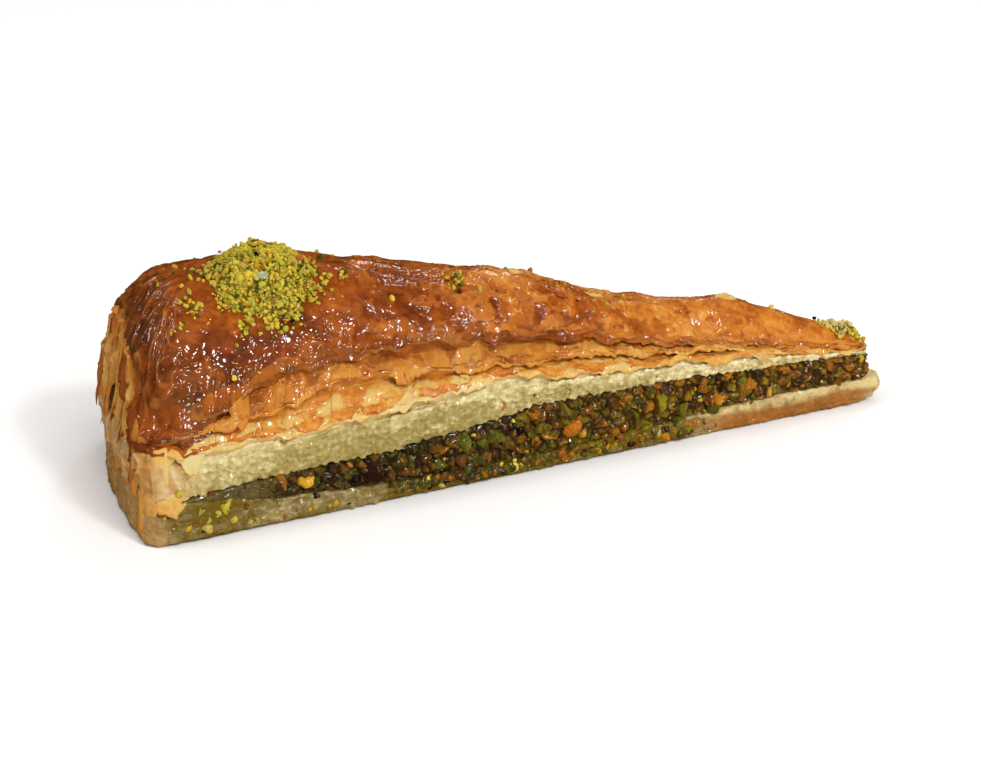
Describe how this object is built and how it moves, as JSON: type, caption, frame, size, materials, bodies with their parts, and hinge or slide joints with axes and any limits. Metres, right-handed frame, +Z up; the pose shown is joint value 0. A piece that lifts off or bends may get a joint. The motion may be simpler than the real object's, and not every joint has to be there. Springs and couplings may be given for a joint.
{
  "type": "baklava slice",
  "caption": "Long wedge of pistachio baklava: thin syrup-soaked base, layer of chopped pistachio, tall domed stack of flaky pastry, ground pistachio on top.",
  "frame": {"origin": "on the table under the middle of the piece's box", "axes": "+X along the wedge from the wide heel to the tip, +Y across it, +Z up"},
  "size_m": [0.1667, 0.0548, 0.0502],
  "materials": {
    "soaked_pastry": "syrup-soaked phyllo sheets, translucent beige",
    "browned_pastry": "baked phyllo sheets glazed with butter and syrup, golden at the cuts and browned on top",
    "chopped_nuts": "chopped pistachio moist with syrup",
    "ground_nuts": "dry ground pistachio"
  },
  "bodies": {
    "root": {"bottom_pastry": "soaked_pastry", "pistachio_filling": "chopped_nuts", "upper_pastry": "browned_pastry", "pistachio_heap": "ground_nuts", "tip_pistachio": "ground_nuts"}
  },
  "joints": []
}
